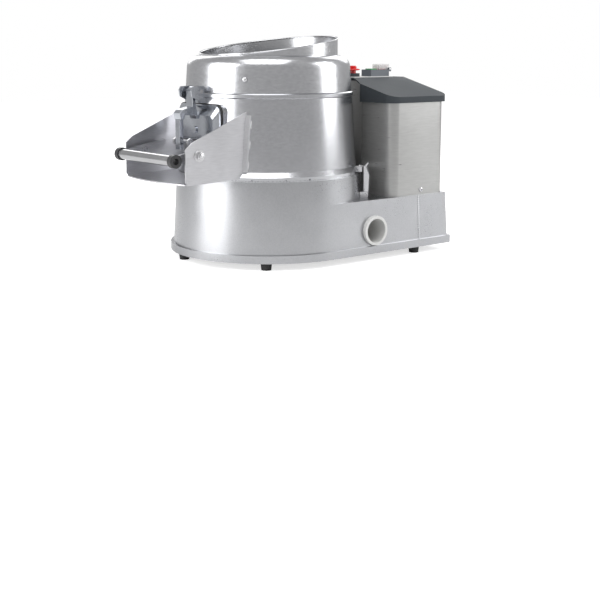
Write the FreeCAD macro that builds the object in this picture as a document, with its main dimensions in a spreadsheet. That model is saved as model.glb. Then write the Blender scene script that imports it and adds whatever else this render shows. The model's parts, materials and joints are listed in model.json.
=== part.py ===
import FreeCAD, Part
import math
import os
import re
import Sketcher

# Table-top potato peeler: a round abrasive drum on a cast base, a front outlet with a door and a
# chute, and a steel motor cover behind. Millimetres, +Z up, the chute to -Y, the drain to +X.
# Every sub-part is drawn about the drum's axis and then moved by drum_y.
SIZES = {
    # where the drum's axis stands along the machine
    "drum_y": -19.75,
    "gap": 0.3,
    "sheet_wall": 1.5,
    # rubber feet
    "foot_r": 11.0, "foot_tall": 14.0, "foot_inset": 18.0, "foot_side_inset": 20.0, "foot_rear_inset": 92.0,
    "foot_first_turn": -171.0, "foot_step_turn": 66.0,
    # cast base: a tapered tub with a round seat for the drum
    "rim_half": 198.0, "rim_step": 6.0, "rim_tall": 15.0, "rim_rear": 327.0, "rim_corner": 12.0,
    "rim_step_rear": 5.0, "tub_corner": 10.0, "tub_wall": 4.0, "tub_lean": 3.0,
    "deck_z": 118.0, "seat_z": 165.0,
    "plate_thick": 2.0,
    # drain
    "drain_y": 114.0, "drain_z": 58.5, "drain_r": 25.5, "drain_wall": 2.0, "drain_drop_x": 82.0,
    "drain_bend": 34.0,
    "collar_r": 29.0, "collar_proud": 5.0,
    # bowl below the disc
    "bowl_floor_z": 124.0, "bowl_wall": 2.5, "bowl_inset": 16.0, "lip_inset": 8.0, "bowl_lip": 2.0,
    # bearing housing, shaft and disc
    "housing_r": 34.0, "housing_flange_r": 62.0, "housing_flange": 6.0, "housing_z0": 84.0, "housing_z1": 152.0,
    "bearing_r": 26.0, "bearing_bore_r": 12.5, "bearing_tall": 15.0, "running": 0.05, "snug": 0.02,
    "shaft_z0": 50.0, "shaft_z1": 214.0, "shaft_tip_r": 8.0,
    "disc_room": 15.0, "disc_z": 194.0, "disc_thick": 8.0, "disc_hub_r": 30.0, "disc_hub_tall": 22.0,
    "wave_count": 6.0, "wave_r": 14.0, "wave_high": 9.0, "wave_start": 40.0,
    "vane_long": 60.0, "vane_tall": 24.0, "vane_thick": 3.0, "vane_start": 95.0,
    "cap_r": 13.0, "cap_tall": 14.0,
    # drive
    "big_pulley_r": 78.0, "small_pulley_r": 21.0, "pulley_z": 62.0, "pulley_tall": 16.0, "groove_deep": 7.0,
    "motor_inset": 80.0, "motor_r": 48.0, "motor_tall": 150.0, "motor_shaft_r": 7.0, "motor_hole_r": 27.0,
    "motor_plate": 6.0, "motor_plate_wide": 140.0, "motor_plate_deep": 104.0, "fan_cap_tall": 28.0,
    # drum
    "ring_step": 7.0, "drum_lean": 9.0, "drum_z1": 318.0, "drum_wall": 2.0,
    "ring_inset": 10.0, "ring_tall": 6.0, "ring_slope": 9.0,
    "bead_proud": 2.0, "bead_tall": 10.0, "neck_drop": 8.0,
    "lining_thick": 4.0, "lining_z0": 206.0,
    # lid with its slanted hopper collar
    "lid_step": 1.0, "lid_lean": 3.0, "lid_z1": 398.0, "lid_round": 24.0,
    "hopper_inset": 25.0, "hopper_front_z": 400.0, "hopper_rear_z": 437.0,
    "inlet_z": 352.0, "inlet_r": 13.2, "inlet_bore_r": 9.5, "inlet_long": 32.0, "inlet_turn": 170.0,
    "stud_head_r": 4.5, "stud_turn": -53.0, "stud_z": 354.0,
    # outlet neck and door
    "door_half": 68.0, "door_z0": 240.0, "door_z1": 304.0, "door_sink": 10.0, "door_deep": 12.0,
    "door_bevel": 9.0, "door_top_bevel": 18.0, "door_corner": 14.0, "door_wall": 2.0,
    "neck_half": 72.0, "neck_z0": 236.0, "neck_z1": 308.0, "neck_corner": 16.0, "neck_wall": 2.5,
    "neck_start": 150.0,
    "pin_stand": 12.0, "pin_z": 331.0, "pin_r": 4.0, "lug_half": 22.0, "lug_thick": 3.0,
    "strap_wide": 22.0,
    "grip_stand": 47.0, "grip_wide": 15.0, "grip_deep": 8.0, "grip_z0": 222.0, "grip_z1": 290.0,
    "cross_stand": 2.0, "cross_z": 236.5, "cross_r": 4.0, "cross_half": 27.0, "nut_flat": 14.0,
    "nut_thick": 7.0,
    # chute
    "cheek_x": 105.0, "chute_wall": 2.5, "chute_reach": 103.0,
    "chute_z_front": 166.0, "chute_z_back": 171.0, "cheek_front_z": 231.0, "cheek_back_z": 295.0,
    "cheek_round": 14.0, "cheek_round_z": 243.0, "chute_fold_r": 6.0,
    # discharge handle
    "pivot_stand": 73.0, "pivot_z": 219.0, "pivot_r": 5.0, "arm_x": 86.0, "arm_thick": 4.0, "arm_high": 17.0,
    "arm_back_stand": 25.0, "arm_back_z": 228.0,
    "tube_stand": 119.0, "tube_z": 211.0, "tube_r": 10.0, "tube_bore_r": 8.0, "tube_half": 84.0,
    "cap_end_r": 12.5,
    "cap_end_long": 11.0, "head_thick": 6.0, "washer_r": 11.0, "washer_thick": 1.5,
    # clamps
    "clamp_turn": 40.0, "clamp_wide": 20.0, "clamp_pin_z": 125.0, "clamp_pin_r": 2.5, "clamp_stand": 5.5,
    "hook_z": 184.0, "lug_shelf_z": 177.0,
    # motor cover
    "cover_inset": 8.0, "cover_front_y": 165.0, "cover_rear_inset": 8.0, "cover_corner": 20.0,
    "cover_z1": 304.0,
    "recess_inset": 2.0,
    "cap_over": 3.0, "cap_rear": 8.0, "cap_ridge_half": 52.0, "cap_ridge_z": 351.0, "cap_edge_z": 316.0,
    "cap_wall": 3.0,
    "screw_inset": 81.0, "screw_z": 128.0, "screw_r": 5.0,
    # controls on the cap
    "box_inset": 48.0, "box_long": 52.0, "box_wide": 30.0, "box_tall": 14.0,
    "button_long": 18.0, "key_inset": 7.0, "button_high": 5.0, "button_deep": 6.0, "shield_tall": 11.0,
    "stop_inset": 113.0, "stop_base_r": 15.0, "stop_base_tall": 10.0, "stop_r": 11.0, "stop_high": 15.5,
    "gland_x": -120.0, "gland_z": 84.0, "gland_r": 10.0, "gland_long": 16.0, "gland_bore_r": 4.5,
}

# Sizes that follow from others: the rim sets tub, bowl, drum, lid, hopper, disc, clamps, cover and feet,
# the drum's wall sets the door, chute and handle, and the rim's rear sets the motor and the controls.
LINKED = {
    "tub_half": "(rim_half - rim_step)", "tub_rear": "(rim_rear - rim_step_rear)",
    "bowl_r": "(tub_half - bowl_inset)", "bowl_lip_r": "(tub_half - lip_inset)",
    "ring_r": "(tub_half - ring_inset)", "drum_r_low": "(ring_r - ring_step)",
    "drum_r_high": "(drum_r_low - drum_lean)", "bead_r": "(drum_r_high + bead_proud)",
    "lid_r_low": "(drum_r_high - lid_step)", "lid_r_high": "(lid_r_low - lid_lean)",
    "hopper_r": "(lid_r_high - hopper_inset)", "disc_r": "(drum_r_low - disc_room)",
    "clamp_out": "(tub_half + clamp_stand)", "recess_r": "(tub_half - recess_inset)",
    "cover_half": "(tub_half - cover_inset)", "cover_rear_y": "(tub_rear - cover_rear_inset)",
    "foot_front_reach": "(rim_half - foot_inset)", "foot_rear_x": "(rim_half - foot_side_inset)",
    "foot_rear_y": "(rim_rear - foot_rear_inset)", "motor_y": "(rim_rear - motor_inset)",
    "screw_y": "(rim_rear - screw_inset)", "box_y": "(rim_rear - box_inset)",
    "stop_y": "(rim_rear - stop_inset)",
    "button_wide": "(box_wide - 2 * key_inset)", "door_back_y": "(door_sink - drum_r_low)",
    "pin_y": "(door_back_y - pin_stand)", "grip_y": "(door_back_y - grip_stand)",
    "cross_y": "(grip_y - cross_stand)", "chute_front_y": "(door_back_y - chute_reach)",
    "cheek_round_y": "(chute_front_y + cheek_round)", "pivot_y": "(door_back_y - pivot_stand)",
    "arm_back_y": "(door_back_y - arm_back_stand)", "tube_y": "(door_back_y - tube_stand)",
}

doc = FreeCAD.newDocument("potato_peeler")
sheet = doc.addObject("Spreadsheet::Sheet", "Sizes")
for row, (alias, number) in enumerate(SIZES.items(), start=1):
    sheet.set("A%d" % row, alias)
    sheet.set("B%d" % row, str(number))
    sheet.setAlias("B%d" % row, alias)
doc.recompute()

WORD = re.compile(r"[a-z][a-z_0-9]*")
finished = []


def bind(text):
    """The same formula with each size's name pointing at its cell, and each linked size written out."""
    def point(word):
        name = word.group(0)
        if name in LINKED:
            return bind(LINKED[name])
        return "Sizes." + name if name in SIZES else name
    return WORD.sub(point, str(text))


def value(text):
    return float(sheet.evalExpression(bind(text)))


def lay(obj, x="0", y="0", z="0", turn=None):
    """Place an object by three formulas, after a fixed turn given as (axis, degrees)."""
    if turn:
        obj.Placement = FreeCAD.Placement(FreeCAD.Vector(), FreeCAD.Rotation(FreeCAD.Vector(*turn[0]), turn[1]))
    for letter, text in zip("xyz", (x, y, z)):
        if str(text) != "0":
            obj.setExpression("Placement.Base." + letter, bind(text))
    return obj


TURNS = {"Z": None, "X": ((0, 1, 0), 90), "Y": ((1, 0, 0), -90)}


def rod(name, radius, long, x="0", y="0", z="0", axis="Z"):
    obj = doc.addObject("Part::Cylinder", name)
    obj.setExpression("Radius", bind(radius))
    obj.setExpression("Height", bind(long))
    return lay(obj, x, y, z, TURNS[axis])


def block(name, long_x, long_y, long_z, x, y, z):
    obj = doc.addObject("Part::Box", name)
    obj.setExpression("Length", bind(long_x))
    obj.setExpression("Width", bind(long_y))
    obj.setExpression("Height", bind(long_z))
    return lay(obj, x, y, z)


def cut(name, base, tool):
    obj = doc.addObject("Part::Cut", name)
    obj.Base = base
    obj.Tool = tool
    return obj


def fuse(name, shapes):
    obj = doc.addObject("Part::MultiFuse", name)
    obj.Shapes = shapes
    return obj


def common(name, shapes):
    obj = doc.addObject("Part::MultiCommon", name)
    obj.Shapes = shapes
    return obj


def tube(name, outer, inner, long, x="0", y="0", z="0", axis="Z"):
    return cut(name, rod(name + "_out", outer, long, x, y, z, axis),
               rod(name + "_in", inner, long, x, y, z, axis))


def hexagon(name, flat, thick, x, y, z, axis="X"):
    obj = doc.addObject("Part::Prism", name)
    obj.Polygon = 6
    obj.setExpression("Circumradius", bind("(%s) / sqrt(3)" % flat))
    obj.setExpression("Height", bind(thick))
    return lay(obj, x, y, z, TURNS[axis])


def swung(name, source, degrees, lift="0"):
    """A copy of a shape turned about the drum's axis."""
    obj = doc.addObject("Part::Compound", name)
    obj.Links = [source]
    obj.Placement = FreeCAD.Placement(FreeCAD.Vector(), FreeCAD.Rotation(FreeCAD.Vector(0, 0, 1), degrees))
    if lift != "0":
        obj.setExpression("Placement.Base.z", bind(lift))
    return obj


def piece(name, shapes):
    """A finished sub-part: its Label is the node's name, and it stands at the drum's axis."""
    shapes = shapes if isinstance(shapes, list) else [shapes]
    if len(shapes) == 1 and shapes[0].TypeId in ("PartDesign::Body", "Part::Cut", "Part::MultiFuse"):
        obj = shapes[0]
    else:
        obj = doc.addObject("Part::Compound", name + "_set")
        obj.Links = shapes
    obj.Label = name
    if obj.Label != name:
        raise RuntimeError("Two objects share the name " + name)
    obj.setExpression("Placement.Base.y", bind("drum_y"))
    finished.append(obj)
    return obj


def body(name):
    return doc.addObject("PartDesign::Body", name)


def sketch(owner, role, loops, offset="0"):
    """A closed outline on one of the body's origin planes. A corner is (x, y), or (x, y, radius)
    where an arc runs on to the next corner; a round hole is ("circle", x, y, radius)."""
    plane = [f for f in owner.Origin.OriginFeatures if f.Role == role][0]
    drawn = owner.newObject("Sketcher::SketchObject", owner.Name + "_sketch")
    drawn.AttachmentSupport = (plane, [""])
    drawn.MapMode = "FlatFace"
    drawn.setExpression("AttachmentOffset.Base.z", bind(offset))

    def fix(kind, geo, point, text):
        index = drawn.addConstraint(Sketcher.Constraint(kind, -1, 1, geo, point, value(text)))
        drawn.setExpression("Constraints[%d]" % index, bind(text))

    for loop in loops:
        if loop[0] == "circle":
            centre = FreeCAD.Vector(value(loop[1]), value(loop[2]), 0)
            geo = drawn.addGeometry(Part.Circle(centre, FreeCAD.Vector(0, 0, 1), value(loop[3])), False)
            fix("DistanceX", geo, 3, loop[1])
            fix("DistanceY", geo, 3, loop[2])
            index = drawn.addConstraint(Sketcher.Constraint("Radius", geo, value(loop[3])))
            drawn.setExpression("Constraints[%d]" % index, bind(loop[3]))
            continue
        spots = [FreeCAD.Vector(value(corner[0]), value(corner[1]), 0) for corner in loop]
        ends = []
        for i, corner in enumerate(loop):
            a, b = spots[i], spots[(i + 1) % len(loop)]
            if len(corner) == 2:
                ends.append((drawn.addGeometry(Part.LineSegment(a, b), False), 1, 2))
                continue
            # the sign of the radius says which side of the run the arc bulges to: plus is right
            radius = value(corner[2])
            chord = b - a
            side = FreeCAD.Vector(chord.y, -chord.x, 0).normalize() * math.copysign(1.0, radius)
            drop = math.sqrt(max(radius * radius - chord.Length ** 2 / 4, 0.0))
            middle = (a + b) * 0.5 + side * (abs(radius) - drop)
            geo = drawn.addGeometry(Part.Arc(a, middle, b), False)
            first = drawn.getPoint(geo, 1)
            ends.append((geo, 1, 2) if (first - a).Length < (first - b).Length else (geo, 2, 1))
            index = drawn.addConstraint(Sketcher.Constraint("Radius", geo, abs(radius)))
            drawn.setExpression("Constraints[%d]" % index, bind("abs(%s)" % corner[2]))
        for i in range(len(loop)):
            here, after = ends[i], ends[(i + 1) % len(loop)]
            drawn.addConstraint(Sketcher.Constraint("Coincident", here[0], here[2], after[0], after[1]))
            fix("DistanceX", here[0], here[1], loop[i][0])
            fix("DistanceY", here[0], here[1], loop[i][1])
    return drawn


def turned(name, loops, role="XZ_Plane"):
    """A body turned about the Z axis from half its section."""
    owner = body(name)
    profile = sketch(owner, role, loops)
    feature = owner.newObject("PartDesign::Revolution", name + "_turn")
    feature.Profile = profile
    feature.ReferenceAxis = (profile, ["V_Axis"])
    feature.Angle = 360
    return owner


def raised(owner, role, loops, long, offset="0", lean=None, back=False, kind="Pad"):
    """A pad or a pocket from an outline. lean is its taper in degrees, back turns it round."""
    profile = sketch(owner, role, loops, offset)
    feature = owner.newObject("PartDesign::" + kind, owner.Name + "_" + kind.lower())
    feature.Profile = profile
    feature.setExpression("Length", bind(long))
    if lean:
        feature.setExpression("TaperAngle", bind(lean))
    feature.Reversed = back
    return feature


def u_plan(half, rear, corner):
    """The base's plan: half a circle in front, straight sides and a rear wall with round corners."""
    return [("-(%s)" % half, "0", half), ("0", "-(%s)" % half, half), (half, "0"),
            (half, "(%s) - (%s)" % (rear, corner), corner),
            ("(%s) - (%s)" % (half, corner), rear), ("(%s) - (%s)" % (corner, half), rear, corner),
            ("-(%s)" % half, "(%s) - (%s)" % (rear, corner))]


# Rubber feet: two at the rear corners and three around the front, each a turned cone with a groove
foot = turned("foot", [[("0", "0"), ("foot_r - 1.5", "0"), ("foot_r", "foot_tall"), ("0", "foot_tall")]])
feet = []
for i in range(3):
    turn = "(foot_first_turn + %d * foot_step_turn)" % i
    spot = doc.addObject("Part::Compound", "front_foot")
    spot.Links = [foot]
    feet.append(lay(spot, "foot_front_reach * cos%s" % turn, "foot_front_reach * sin%s" % turn))
for side in ("-1", "1"):
    spot = doc.addObject("Part::Compound", "rear_foot")
    spot.Links = [foot]
    feet.append(lay(spot, side + " * foot_rear_x", "foot_rear_y"))
piece("rubber_feet", feet)

# Cast base tub: rim band, leaning walls, flat deck behind and a round seat in front
tub = body("tub")
raised(tub, "XY_Plane", [u_plan("rim_half", "rim_rear", "rim_corner")], "rim_tall", "foot_tall")
raised(tub, "XY_Plane", [u_plan("tub_half", "tub_rear", "tub_corner")], "deck_z - foot_tall - rim_tall",
       "foot_tall + rim_tall", "-tub_lean")
raised(tub, "XY_Plane", [("circle", "0", "0", "tub_half - (deck_z - foot_tall - rim_tall) * tan(tub_lean)")],
       "seat_z - deck_z", "deck_z", "-tub_lean")
raised(tub, "XY_Plane", [u_plan("tub_half - tub_wall", "tub_rear - tub_wall", "tub_corner - tub_wall / 2")],
       "deck_z - foot_tall - tub_wall", "foot_tall", "-tub_lean * 0.8", True, "Pocket")
raised(tub, "XY_Plane", [("circle", "0", "0", "bowl_r + gap")], "seat_z", "foot_tall", None, True, "Pocket")
motor_hole = rod("motor_hole", "motor_hole_r", "deck_z", "0", "motor_y", "foot_tall")
drain_hole = rod("drain_hole", "drain_r", "tub_half", "drain_drop_x", "drain_y", "drain_z", "X")
gland_hole = rod("gland_hole", "gland_r - 2", "60", "gland_x", "tub_rear - 30", "gland_z", "Y")
piece("base_tub", cut("base_tub_cut", tub, fuse("tub_holes", [motor_hole, drain_hole, gland_hole])))

# Bottom plate, let into the rim
plate = body("plate")
raised(plate, "XY_Plane", [u_plan("tub_half - tub_wall - gap", "tub_rear - tub_wall - gap", "tub_corner - 2")],
       "plate_thick", "foot_tall")
vent_slots = [block("vent_%d" % i, "60", "5", "10", "-30", "motor_y - 30 + %d * 15" % i, "foot_tall - 4")
              for i in range(5)]
piece("bottom_plate", cut("bottom_plate_cut", plate, fuse("vents", vent_slots)))


# Drain: an elbow from the bowl's floor to the side wall, with a moulded collar round its mouth
def elbow(name, radius, lengthen):
    bend = doc.addObject("Part::Torus", name + "_bend")
    bend.setExpression("Radius1", bind("drain_bend"))
    bend.setExpression("Radius2", bind(radius))
    bend.Angle3 = 90
    bend.Placement.Rotation = FreeCAD.Rotation(FreeCAD.Vector(-1, 0, 0), FreeCAD.Vector(0, 0, -1),
                                               FreeCAD.Vector(0, -1, 0), "XYZ")
    lay(bend, "drain_drop_x + drain_bend", "drain_y", "drain_z + drain_bend")
    drop = rod(name + "_drop", radius, "bowl_floor_z - drain_z - drain_bend + %s" % lengthen,
               "drain_drop_x", "drain_y", "drain_z + drain_bend")
    run = rod(name + "_run", radius, "tub_half + collar_proud - drain_drop_x - drain_bend + %s" % lengthen,
              "drain_drop_x + drain_bend", "drain_y", "drain_z", "X")
    return fuse(name, [bend, drop, run])


piece("drain_elbow", cut("drain_elbow_cut", elbow("elbow_out", "drain_r", "0"),
                         elbow("elbow_in", "drain_r - drain_wall", "1")))
piece("drain_collar", cut("drain_collar_cut", tube(
    "drain_collar_ring", "collar_r", "drain_r + snug", "collar_proud + 3", "tub_half - 3", "drain_y",
    "drain_z", "X"), tub))

# Bowl that catches water and peel, turned from sheet, with the drain's mouth in its floor
bowl = turned("bowl", [[("housing_r + gap", "bowl_floor_z"), ("bowl_r - 10", "bowl_floor_z"),
                        ("bowl_r", "bowl_floor_z + 12"), ("bowl_r", "seat_z"), ("bowl_lip_r", "seat_z"),
                        ("bowl_lip_r", "seat_z + bowl_lip"), ("bowl_r - bowl_wall", "seat_z + bowl_lip"),
                        ("bowl_r - bowl_wall", "bowl_floor_z + 13"),
                        ("bowl_r - 11", "bowl_floor_z + bowl_wall"),
                        ("housing_r + gap", "bowl_floor_z + bowl_wall")]])
piece("waste_bowl", cut("waste_bowl_cut", bowl, rod("bowl_mouth", "drain_r - drain_wall", "20",
                                                    "drain_drop_x", "drain_y", "bowl_floor_z - 5")))

# Bearing housing with its two bearings, seal and the disc's shaft
piece("bearing_housing", turned("housing", [[
    ("bearing_r + gap / 6", "housing_z0"), ("housing_r", "housing_z0"),
    ("housing_r", "bowl_floor_z - housing_flange"), ("housing_flange_r", "bowl_floor_z - housing_flange"),
    ("housing_flange_r", "bowl_floor_z"), ("housing_r", "bowl_floor_z"), ("housing_r", "housing_z1"),
    ("bearing_r + gap / 6", "housing_z1")]]))
bearings = []
for i, z in enumerate(("housing_z0 + 3", "housing_z1 - bearing_tall - 10")):
    bearings.append(tube("bearing_%d" % i, "bearing_r", "bearing_bore_r + running", "bearing_tall", "0", "0",
                         z))
piece("shaft_bearings", bearings)
piece("shaft_seal", tube("seal", "bearing_r", "bearing_bore_r + running", "7", "0", "0", "housing_z1 - 8"))
piece("main_shaft", turned("shaft", [[
    ("0", "shaft_z0"), ("bearing_bore_r", "shaft_z0"), ("bearing_bore_r", "disc_z + disc_thick"),
    ("shaft_tip_r", "disc_z + disc_thick"), ("shaft_tip_r", "shaft_z1"), ("0", "shaft_z1")]]))

# Abrasive disc: a thick plate with radial waves that throw the potatoes
disc = turned("disc", [[("bearing_bore_r + running", "disc_z - disc_hub_tall"),
                        ("disc_hub_r", "disc_z - disc_hub_tall"), ("disc_hub_r", "disc_z"),
                        ("disc_r", "disc_z"), ("disc_r", "disc_z + disc_thick"),
                        ("bearing_bore_r + running", "disc_z + disc_thick")]])
waves = []
for i in range(int(value("wave_count"))):
    ridge = rod("ridge_%d" % i, "wave_r", "disc_r - wave_start - 4", "wave_start", "0",
                "disc_z + disc_thick + wave_high - wave_r", "X")
    keep = block("ridge_keep_%d" % i, "disc_r", "4 * wave_r", "2 * wave_r", "0", "-2 * wave_r",
                 "disc_z + disc_thick - 1")
    waves.append(swung("wave_%d" % i, common("ridge_top_%d" % i, [ridge, keep]),
                       360.0 * i / value("wave_count")))
piece("abrasive_disc", fuse("disc_waves", [disc] + waves))
vanes = []
for i in range(2):
    vane = block("vane_%d" % i, "vane_long", "vane_thick", "vane_tall", "vane_start", "0", "disc_z - vane_tall")
    vanes.append(swung("vane_set_%d" % i, vane, 180.0 * i))
piece("sweeper_vanes", vanes)
piece("disc_cap_nut", turned("cap_nut", [[
    ("shaft_tip_r + running", "disc_z + disc_thick"), ("cap_r", "disc_z + disc_thick"),
    ("cap_r", "disc_z + disc_thick + cap_tall - 4"), ("cap_r - 4", "disc_z + disc_thick + cap_tall", ),
    ("shaft_tip_r + running", "disc_z + disc_thick + cap_tall")]]))


# Pulleys with a wedge groove, and the belt that lies in both grooves
def pulley(name, radius, bore):
    high = "pulley_z + pulley_tall"
    return turned(name, [[(bore, "pulley_z"), (radius, "pulley_z"), (radius, "pulley_z + 3"),
                          ("%s - groove_deep" % radius, "pulley_z + 6"),
                          ("%s - groove_deep" % radius, high + " - 6"), (radius, high + " - 3"),
                          (radius, high), (bore, high)]])


piece("driven_pulley", pulley("big_pulley", "big_pulley_r", "bearing_bore_r + running"))
small = doc.addObject("Part::Compound", "small_pulley_at")
small.Links = [pulley("small_pulley", "small_pulley_r", "motor_shaft_r + running")]
piece("motor_pulley", [lay(small, "0", "motor_y")])


def belt_shape(outer):
    """The belt's outline at one offset from the groove's floor: two arcs and two tangents."""
    big = value("big_pulley_r - groove_deep") + outer
    little = value("small_pulley_r - groove_deep") + outer
    span = value("motor_y")
    lean = math.asin((big - little) / span)
    c, s = math.cos(lean), math.sin(lean)
    points = [FreeCAD.Vector(big * c, big * s, 0), FreeCAD.Vector(0, -big, 0),
              FreeCAD.Vector(-big * c, big * s, 0),
              FreeCAD.Vector(-little * c, span + little * s, 0), FreeCAD.Vector(0, span + little, 0),
              FreeCAD.Vector(little * c, span + little * s, 0)]
    edges = [Part.Arc(points[0], points[1], points[2]).toShape(),
             Part.LineSegment(points[2], points[3]).toShape(),
             Part.Arc(points[3], points[4], points[5]).toShape(),
             Part.LineSegment(points[5], points[0]).toShape()]
    return Part.Face(Part.Wire(edges))


belt_tall = value("pulley_tall - 12") - 2 * value("gap")
belt_face = belt_shape(value("groove_deep - 1")).cut(belt_shape(value("gap")))
belt = doc.addObject("Part::Feature", "belt")
belt.Shape = belt_face.extrude(FreeCAD.Vector(0, 0, belt_tall))
lay(belt, "0", "0", "pulley_z + 6 + gap")
piece("drive_belt", [belt])

# Motor on its plate, with a finned can, a fan cap and a shaft that reaches down to the small pulley
fins = []
for i in range(16):
    fins.append(swung("fin_%d" % i, block("fin_block_%d" % i, "6", "3", "motor_tall - 40", "motor_r - 3",
                                          "-1.5", "20"),
                      22.5 * i))
can = rod("can", "motor_r", "motor_tall")
nose = rod("nose", "motor_hole_r - 3", "motor_plate + 6", "0", "0", "-motor_plate - 6")
motor_bore = rod("motor_bore", "motor_shaft_r + running", "motor_plate + 36", "0", "0", "-motor_plate - 6")
motor_solid = cut("motor_solid", fuse("motor_mass", [can, nose] + fins), motor_bore)
motor_at = doc.addObject("Part::Compound", "motor_at")
motor_at.Links = [motor_solid]
piece("motor", [lay(motor_at, "0", "motor_y", "deck_z + motor_plate")])
piece("motor_fan_cap", [rod("fan_cap", "motor_r - 4", "fan_cap_tall", "0", "motor_y",
                            "deck_z + motor_plate + motor_tall")])
piece("motor_shaft", [rod("motor_rod", "motor_shaft_r", "deck_z - pulley_z + 26", "0", "motor_y",
                          "pulley_z - 4")])
mount_plate = block("mount_plate", "motor_plate_wide", "motor_plate_deep", "motor_plate",
                    "-motor_plate_wide / 2", "motor_y - motor_plate_deep / 2", "deck_z")
piece("motor_plate", cut("motor_plate_cut", mount_plate, rod("mount_hole", "motor_hole_r", "40", "0", "motor_y",
                                                             "deck_z - 10")))
studs = []
for x in ("-1", "1"):
    for y in ("-1", "1"):
        studs.append(hexagon("plate_nut", "13", "5", x + " * (motor_plate_wide / 2 - 10)",
                             "motor_y + %s * (motor_plate_deep / 2 - 9)" % y, "deck_z + motor_plate", "Z"))
piece("motor_plate_bolts", studs)
piece("start_capacitor", [rod("capacitor", "18", "80", "-110", "250", "deck_z")])

# Drum: a tapered wall on a coned ring, with a rolled bead and a neck that the lid drops over
ring_top = "seat_z + bowl_lip + ring_tall"
drum = turned("drum", [[
    ("ring_r", "seat_z + bowl_lip"), ("ring_r", ring_top), ("drum_r_low", ring_top + " + ring_slope"),
    ("drum_r_high", "drum_z1"), ("bead_r", "drum_z1 + 2"), ("bead_r", "drum_z1 + bead_tall - 2"),
    ("lid_r_low", "drum_z1 + bead_tall"), ("lid_r_low - 2.5", "drum_z1 + bead_tall"),
    ("lid_r_low - 2.5", "drum_z1 + bead_tall + neck_drop"),
    ("lid_r_low - 4", "drum_z1 + bead_tall + neck_drop"), ("lid_r_low - 4", "drum_z1"),
    ("drum_r_high - drum_wall", "drum_z1 - 3"), ("drum_r_low - drum_wall", ring_top + " + ring_slope"),
    ("drum_r_low - drum_wall", "seat_z + bowl_lip")]])
mouth = body("mouth")


def rounded(half, z0, z1, corner):
    """A rectangle with round corners in the plane of the front, wide along X and tall along Z."""
    corner = "(%s)" % corner
    return [("-(%s) + %s" % (half, corner), z0), ("(%s) - %s" % (half, corner), z0, corner),
            (half, "(%s) + %s" % (z0, corner)), (half, "(%s) - %s" % (z1, corner), corner),
            ("(%s) - %s" % (half, corner), z1), ("-(%s) + %s" % (half, corner), z1, corner),
            ("-(%s)" % half, "(%s) - %s" % (z1, corner)), ("-(%s)" % half, "(%s) + %s" % (z0, corner), corner)]


raised(mouth, "XZ_Plane", [rounded("neck_half + snug", "neck_z0 - snug", "neck_z1 + snug", "neck_corner")],
       "rim_half", "100")
notches = [swung("notch_%d" % i, block("notch_block_%d" % i, "8", "4", "3", "ring_r - 3", "-2",
                                       "seat_z + bowl_lip"),
                 turn) for i, turn in enumerate((-47, -27.5, -12.6))]
piece("drum_shell", cut("drum_shell_cut", drum, fuse("drum_cuts", [mouth] + notches)))

# Abrasive lining, a sleeve inside the drum's wall, open at the outlet
lining_out = "drum_r_low - drum_wall - gap - (drum_r_low - drum_r_high) * (%s - 182) / (drum_z1 - 182)"
lining = turned("lining", [[(lining_out % "lining_z0", "lining_z0"),
                            (lining_out % "(drum_z1 - 6)", "drum_z1 - 6"),
                            (lining_out % "(drum_z1 - 6)" + " - lining_thick", "drum_z1 - 6"),
                            (lining_out % "lining_z0" + " - lining_thick", "lining_z0")]])
lining_mouth = body("lining_mouth")
raised(lining_mouth, "XZ_Plane", [rounded("neck_half", "neck_z0", "neck_z1", "neck_corner")], "rim_half", "100")
piece("abrasive_lining", cut("lining_cut", lining, lining_mouth))

# Lid: a spun dome with a hopper collar cut off on the slant, low in front and high behind
lid_low = "drum_z1 + bead_tall + gap"
dome = turned("dome", [[
    ("lid_r_low", lid_low), ("lid_r_high", "lid_z1 - lid_round", "lid_round"),
    ("lid_r_high - lid_round", "lid_z1"), ("hopper_r", "lid_z1"), ("hopper_r", "hopper_rear_z + 10"),
    ("hopper_r - sheet_wall", "hopper_rear_z + 10"), ("hopper_r - sheet_wall", "lid_z1 - sheet_wall"),
    ("lid_r_high - lid_round", "lid_z1 - sheet_wall", "-(lid_round - sheet_wall)"),
    ("lid_r_high - sheet_wall", "lid_z1 - lid_round"), ("lid_r_low - sheet_wall", lid_low)]])
slant = body("slant")
raised(slant, "YZ_Plane", [[("-hopper_r - 2", "hopper_front_z"), ("hopper_r + 2", "hopper_rear_z"),
                            ("hopper_r + 2", "hopper_rear_z + 60"), ("-hopper_r - 2", "hopper_rear_z + 60")]],
       "2 * hopper_r + 10", "-hopper_r - 5")
inlet_hole = swung("inlet_hole_at", rod("inlet_hole", "inlet_bore_r", "40", "lid_r_high - 20", "0", "inlet_z",
                                        "X"),
                   value("inlet_turn"))
piece("drum_lid", cut("drum_lid_cut", dome, fuse("lid_cuts", [slant, inlet_hole])))
lid_stud = swung("lid_stud_at", rod("stud_head", "stud_head_r", "4", "lid_r_high + 1.2", "0", "stud_z", "X"),
                 value("stud_turn"))
piece("lid_stud", cut("lid_stud_cut", lid_stud, dome))

# Water inlet: a threaded pipe stub with a hexagon against the lid's wall
stub = tube("stub", "inlet_r", "inlet_bore_r", "inlet_long", "lid_r_high + 1.5", "0", "inlet_z", "X")
stub_nut = cut("stub_nut", hexagon("stub_hex", "32", "6", "lid_r_high + 1.5", "0", "inlet_z"),
               rod("stub_nut_bore", "inlet_r", "10", "lid_r_high", "0", "inlet_z", "X"))
inlet = swung("inlet_at", fuse("inlet_stub", [stub, stub_nut]), value("inlet_turn"))
piece("water_inlet", cut("water_inlet_cut", inlet, dome))

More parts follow.
